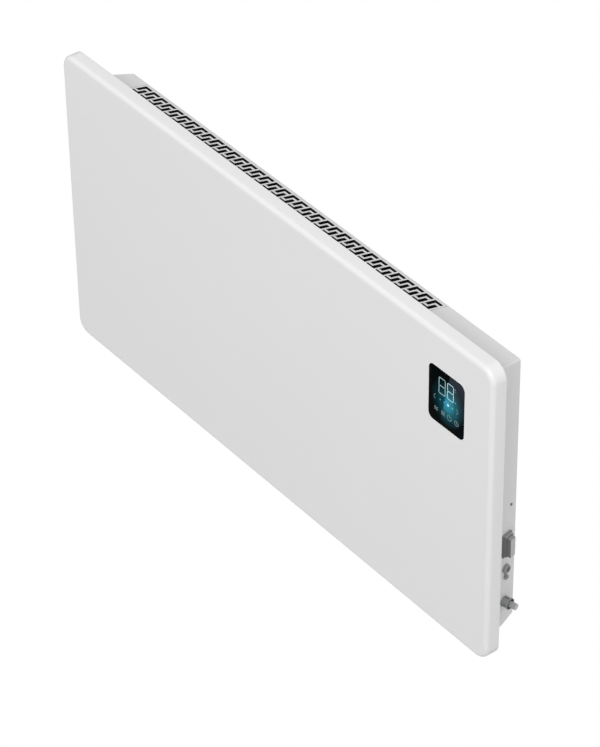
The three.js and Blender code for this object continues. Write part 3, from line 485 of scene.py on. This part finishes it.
# ---------------------------------------------------------------- lit marks
# Thin lit lines and dots that stand on the glass: two outlined digits, arrows, dots and four icons.
# They are plain generic signs, each colour of light a piece of its own.
def lit_finish(name, colour, strength):
    material = bpy.data.materials.new(name)
    material.use_nodes = True
    tree, links = material.node_tree.nodes, material.node_tree.links
    shader = tree["Principled BSDF"]
    shader.inputs["Base Color"].default_value = (*[value * 0.3 for value in colour], 1)
    shader.inputs["Roughness"].default_value = 0.4
    place = tree.new("ShaderNodeTexCoord")
    uneven = tree.new("ShaderNodeTexNoise")
    uneven.inputs["Scale"].default_value = 420.0
    links.new(place.outputs["Object"], uneven.inputs["Vector"])
    tones = tree.new("ShaderNodeMix")
    tones.data_type = "RGBA"
    tones.inputs["A"].default_value = (*[value * 0.7 for value in colour], 1)
    tones.inputs["B"].default_value = (*colour, 1)
    links.new(uneven.outputs["Fac"], tones.inputs["Factor"])
    links.new(tones.outputs["Result"], shader.inputs["Emission Color"])
    shader.inputs["Emission Strength"].default_value = strength
    return material


lit_white = lit_finish("lit_white", (0.50, 0.92, 1.0), 0.60)
lit_pale = lit_finish("lit_pale", (0.62, 0.90, 0.95), 0.32)
lit_soft = lit_finish("lit_soft", (0.5, 0.75, 0.8), 0.15)
lit_bright = lit_finish("lit_bright", (0.45, 0.85, 1.0), 1.0)
lit_blue = lit_finish("lit_blue", (0.15, 0.55, 0.75), 0.42)
lit_green = lit_finish("lit_green", (0.1, 0.75, 0.45), 0.6)


def add_stroke(bm, points, width):
    """A thin flat line on the glass through points given in millimetres from the glass centre."""
    for (ax, az), (bx, bz) in zip(points, points[1:]):
        start, end = Vector((ax, az)), Vector((bx, bz))
        along = (end - start).normalized() * width / 2
        across = Vector((-along.y, along.x))
        tip = along * 0.9
        outline = (start - tip, start + across, end + across, end + tip, end - across, start - across)
        add_prism(bm, outline)


def add_prism(bm, outline):
    front, back = [], []
    for point in outline:
        x, z = GLASS_CENTRE[0] + point.x / 1000, GLASS_CENTRE[1] + point.y / 1000
        front.append(bm.verts.new((x, GLASS_FRONT - 0.00008, z)))
        back.append(bm.verts.new((x, GLASS_FRONT + 0.0001, z)))
    count = len(outline)
    bm.faces.new(front)
    bm.faces.new(list(reversed(back)))
    for i in range(count):
        bm.faces.new((front[i], back[i], back[(i + 1) % count], front[(i + 1) % count]))


def arc(centre, radius, start, end, steps=10):
    return [
        (centre[0] + radius * math.cos(math.radians(start + (end - start) * i / steps)),
         centre[1] + radius * math.sin(math.radians(start + (end - start) * i / steps)))
        for i in range(steps + 1)
    ]


def add_digit(bm, x, z, width, height, thick):
    """A seven-bar figure eight, drawn as the outlines that the lit bars leave."""
    gap, half = thick * 0.75, height / 2
    left, right = x - width / 2, x + width / 2
    for level in (z - half, z, z + half):
        add_stroke(bm, [(left + gap, level), (right - gap, level)], thick)
    for side in (left, right):
        add_stroke(bm, [(side, z - half + gap), (side, z - gap)], thick)
        add_stroke(bm, [(side, z + gap), (side, z + half - gap)], thick)


tens_digit = bmesh.new()
add_digit(tens_digit, -7.5, 16.7, 10.8, 21.9, 1.05)
piece_from(tens_digit, "lit_tens_digit", lit_pale, "black_glass")
ones_digit = bmesh.new()
add_digit(ones_digit, 7.0, 16.7, 10.4, 21.9, 1.05)
piece_from(ones_digit, "lit_ones_digit", lit_white, "black_glass")

small_marks = bmesh.new()
add_stroke(small_marks, arc((15.4, 26.0), 1.1, 0, 360, 8), 0.4)
add_stroke(small_marks, [(16.2, 24.0), (15.8, 22.4)], 0.6)
add_stroke(small_marks, [(14.9, 7.2), (16.3, 7.2)], 1.5)
add_stroke(small_marks, [(-18.6, 0.2), (-21.8, -3.6), (-19.0, -7.4)], 0.55)
add_stroke(small_marks, [(17.6, 0.0), (20.6, -3.4), (17.8, -7.4)], 0.55)
wave_points = [(-20.4, -20.2), (-18.4, -19.2), (-16.2, -20.6), (-14.2, -19.4)]
for rise in (-1.8, 0.0, 1.8):
    add_stroke(small_marks, [(x, z + rise) for x, z in wave_points], 0.6)
for bar in (-2.2, 0.0, 2.2):
    add_stroke(small_marks, [(-8.4, -20.1 + bar), (-2.4, -20.1 + bar)], 0.5)
    add_stroke(small_marks, [(-5.4 + bar, -22.9), (-5.4 + bar, -17.3)], 0.5)
add_stroke(small_marks, arc((5.7, -20.4), 3.6, 125, 415, 16), 0.7)
add_stroke(small_marks, [(5.7, -16.0), (5.7, -19.8)], 0.7)
add_stroke(small_marks, arc((18.2, -20.4), 3.4, 0, 360, 16), 0.65)
add_stroke(small_marks, [(18.2, -18.2), (18.2, -20.4), (20.0, -21.3)], 0.6)
piece_from(small_marks, "lit_marks", lit_soft, "black_glass")


def add_spot(bm, x, z, radius):
    add_prism(bm, [Vector(point) for point in arc((x, z), radius, 0, 360 * 11 / 12, 11)])


dim_spots = bmesh.new()
add_spot(dim_spots, -10.5, -3.4, 0.9)
add_spot(dim_spots, -3.6, -3.4, 1.0)
piece_from(dim_spots, "lit_dim_spots", lit_blue, "black_glass")
bright_spot = bmesh.new()
add_spot(bright_spot, 3.3, -3.4, 1.6)
piece_from(bright_spot, "lit_bright_spot", lit_bright, "black_glass")
green_spot = bmesh.new()
add_spot(green_spot, 10.8, -3.2, 1.0)
piece_from(green_spot, "lit_green_spot", lit_green, "black_glass")

black_moulding = finish_of(
    "black_moulding", (0.035, 0.035, 0.037), (0.025, 0.025, 0.027), 0.55, grain=1500.0, depth=0.00004
)
dress("display_frame", black_moulding, bevel=0.0004)
dress("digit_module", black_moulding, bevel=0.0004)

# ---------------------------------------------------------------- mains switch
# A snap-in rocker switch of moulded plastic on the right wall, the rocker's face lighter than the rest.
# The housing's frame stands 5 mm off the casing, and the rocker shows above it.
WALL_OUT = Vector((0.97455, 0.22415, 0.0))
grey_moulding = finish_of(
    "grey_moulding", (0.205, 0.208, 0.21), (0.175, 0.178, 0.18), 0.5, grain=1800.0, depth=0.00004
)
# A lighter grey: the sensor housing's own colour, and on the switch's up-facing faces a painted light from
# above.
sensor_grey_and_painted_top_light = finish_of(
    "sensor_grey_and_painted_top_light", (0.34, 0.345, 0.35), (0.30, 0.305, 0.31), 0.5, grain=1800.0, depth=0.00004
)
light_moulding = finish_of(
    "light_moulding", (0.56, 0.565, 0.57), (0.50, 0.505, 0.51), 0.42, grain=1800.0, depth=0.00003
)


def faces_up(middle, normal):
    return normal.z > 0.6


def faces_out(middle, normal):
    return normal.dot(WALL_OUT) > 0.8


# The housing's and rocker's up-facing faces are painted lighter: painted light from above.
for moulding in ("switch_housing", "switch_rocker"):
    dress(moulding, grey_moulding, bevel=0.0004, segments=3)
    dress_faces(moulding, sensor_grey_and_painted_top_light, faces_up)
dress_faces("switch_rocker", light_moulding, faces_out)

# ---------------------------------------------------------------- room sensor and cable gland
# The sensor sits in a plastic ring with a tail tab, and the gland is a slit nut with a dark seal.
# Its cable is cut off just outside, as in the picture.
cable_sheath = finish_of(
    "cable_sheath", (0.40, 0.405, 0.41), (0.35, 0.355, 0.36), 0.5, grain=1400.0, depth=0.00003
)
cable_end = finish_of("cable_end", (0.62, 0.62, 0.62), (0.54, 0.54, 0.55), 0.6, patch=500.0, grain=1800.0)
black_rubber_and_slit_shade = finish_of(
    "black_rubber_and_slit_shade", (0.03, 0.03, 0.031), (0.02, 0.02, 0.021), 0.75, grain=1200.0, depth=0.00006
)
gland_nylon = finish_of(
    "gland_nylon", (0.33, 0.335, 0.34), (0.28, 0.285, 0.29), 0.45, grain=1500.0, depth=0.00004
)
dress("sensor_housing", sensor_grey_and_painted_top_light, bevel=0.0003, segments=3)
dress("room_sensor", grey_moulding, bevel=0.0003)
dress("gland_body", gland_nylon)
GLAND_FOOT = Vector((0.3746, -0.02383, -0.28))


def in_slit(middle, normal):
    """True for the walls and floors of the gland's four slits."""
    reach = middle - GLAND_FOOT
    height = reach.dot(WALL_OUT)
    return 0.0012 < height < 0.008 and 0.0048 < (reach - WALL_OUT * height).length < 0.0065


# The walls and floors of the gland's slits are painted near black: painted shade in the slits.
dress_faces("gland_body", black_rubber_and_slit_shade, in_slit)
dress("gland_lock_nut", gland_nylon, bevel=0.0004)
dress("gland_seal", black_rubber_and_slit_shade, bevel=0.0002)
dress("cable_tail", cable_sheath, bevel=0.0004)
dress_faces("cable_tail", cable_end, faces_out)

# ---------------------------------------------------------------- screws
# Zinc plated pan heads with cross recesses, one on the right wall and eight in the casing's flange.
# They hold the casing to the front's turned-in flange.
zinc_plate = finish_of(
    "zinc_plate", (0.62, 0.63, 0.64), (0.5, 0.51, 0.52), 0.32, metal=1.0, patch=300.0, grain=2500.0
)
for screw in ["earth_screw", *[f"flange_screw_{i}" for i in range(1, 9)]]:
    dress(screw, zinc_plate, bevel=0.0002)
dark_zinc = finish_of(
    "dark_zinc", (0.30, 0.30, 0.31), (0.22, 0.22, 0.23), 0.4, metal=0.8, patch=300.0, grain=2500.0
)
dress("side_screw", dark_zinc, bevel=0.0001)

# ---------------------------------------------------------------- heating chamber
# Galvanised sheet forms the chamber's two ends and the shield that keeps the front cool.
# The element is an extruded aluminium cross on a steel-sheathed rod, carried in ceramic bushes.
galvanised_sheet = finish_of(
    "galvanised_sheet", (0.66, 0.68, 0.69), (0.48, 0.5, 0.52), 0.4, metal=0.9, patch=90.0, grain=400.0
)
raw_aluminium = finish_of(
    "raw_aluminium", (0.76, 0.77, 0.78), (0.66, 0.67, 0.69), 0.36,
    metal=1.0, patch=30.0, grain=1500.0, stretch=(0.02, 1, 1),
)
white_ceramic = finish_of(
    "white_ceramic", (0.78, 0.75, 0.68), (0.7, 0.67, 0.6), 0.6, patch=80.0, grain=2000.0, depth=0.00005
)
for plate in ("left_end_plate", "compartment_divider", "heat_shield"):
    dress(plate, galvanised_sheet, bevel=0.0002, segments=1)
dress("heating_element", raw_aluminium, bevel=0.0003)
for bush in ("element_bush_left", "element_bush_right"):
    dress(bush, white_ceramic, bevel=0.0005)
dress("thermal_cutout", black_moulding, bevel=0.0003)

# ---------------------------------------------------------------- electronics and leads
# Boards, relay, transformer and terminals sit on a moulded tray in the cool end of the casing.
# Every lead has its usual colour: brown live, blue neutral and green-yellow earth.
solder_mask = finish_of(
    "solder_mask", (0.02, 0.16, 0.07), (0.015, 0.11, 0.05), 0.3, coat=0.4, patch=200.0, grain=600.0
)
brown_core = finish_of("brown_core", (0.16, 0.07, 0.035), (0.12, 0.05, 0.025), 0.45, patch=60.0)
blue_core = finish_of("blue_core", (0.03, 0.12, 0.42), (0.02, 0.09, 0.34), 0.45, patch=60.0)
earth_core = finish_of("earth_core", (0.62, 0.60, 0.03), (0.05, 0.30, 0.05), 0.45, patch=400.0)
for board in ("power_board", "display_board"):
    dress(board, solder_mask, bevel=0.0002)
for block in ("board_tray", "relay", "capacitor"):
    dress(block, black_moulding, bevel=0.0006)
dress("transformer", zinc_plate, bevel=0.0008)
dress("terminal_block", white_ceramic, bevel=0.0006)
for lead in ("live_lead", "switch_feed", "switch_return", "element_feed", "cutout_feed"):
    dress(lead, brown_core, smooth=70)
for lead in ("neutral_lead", "element_return", "cutout_return"):
    dress(lead, blue_core, smooth=70)
dress("earth_lead", earth_core, smooth=70)
dress("sensor_lead", black_moulding, smooth=70)
dress("display_ribbon", cable_sheath, smooth=70)

# ---------------------------------------------------------------- wall fixings
# Two galvanised rails are screwed to the wall; the upper one's hooks carry the casing.
# Rubber bumpers keep the casing's lower edge off the wall.
for rail in ("upper_wall_rail", "lower_wall_rail"):
    dress(rail, galvanised_sheet, bevel=0.0003)
for bumper in ("wall_bumper_left", "wall_bumper_right"):
    dress(bumper, black_rubber_and_slit_shade, bevel=0.0006)
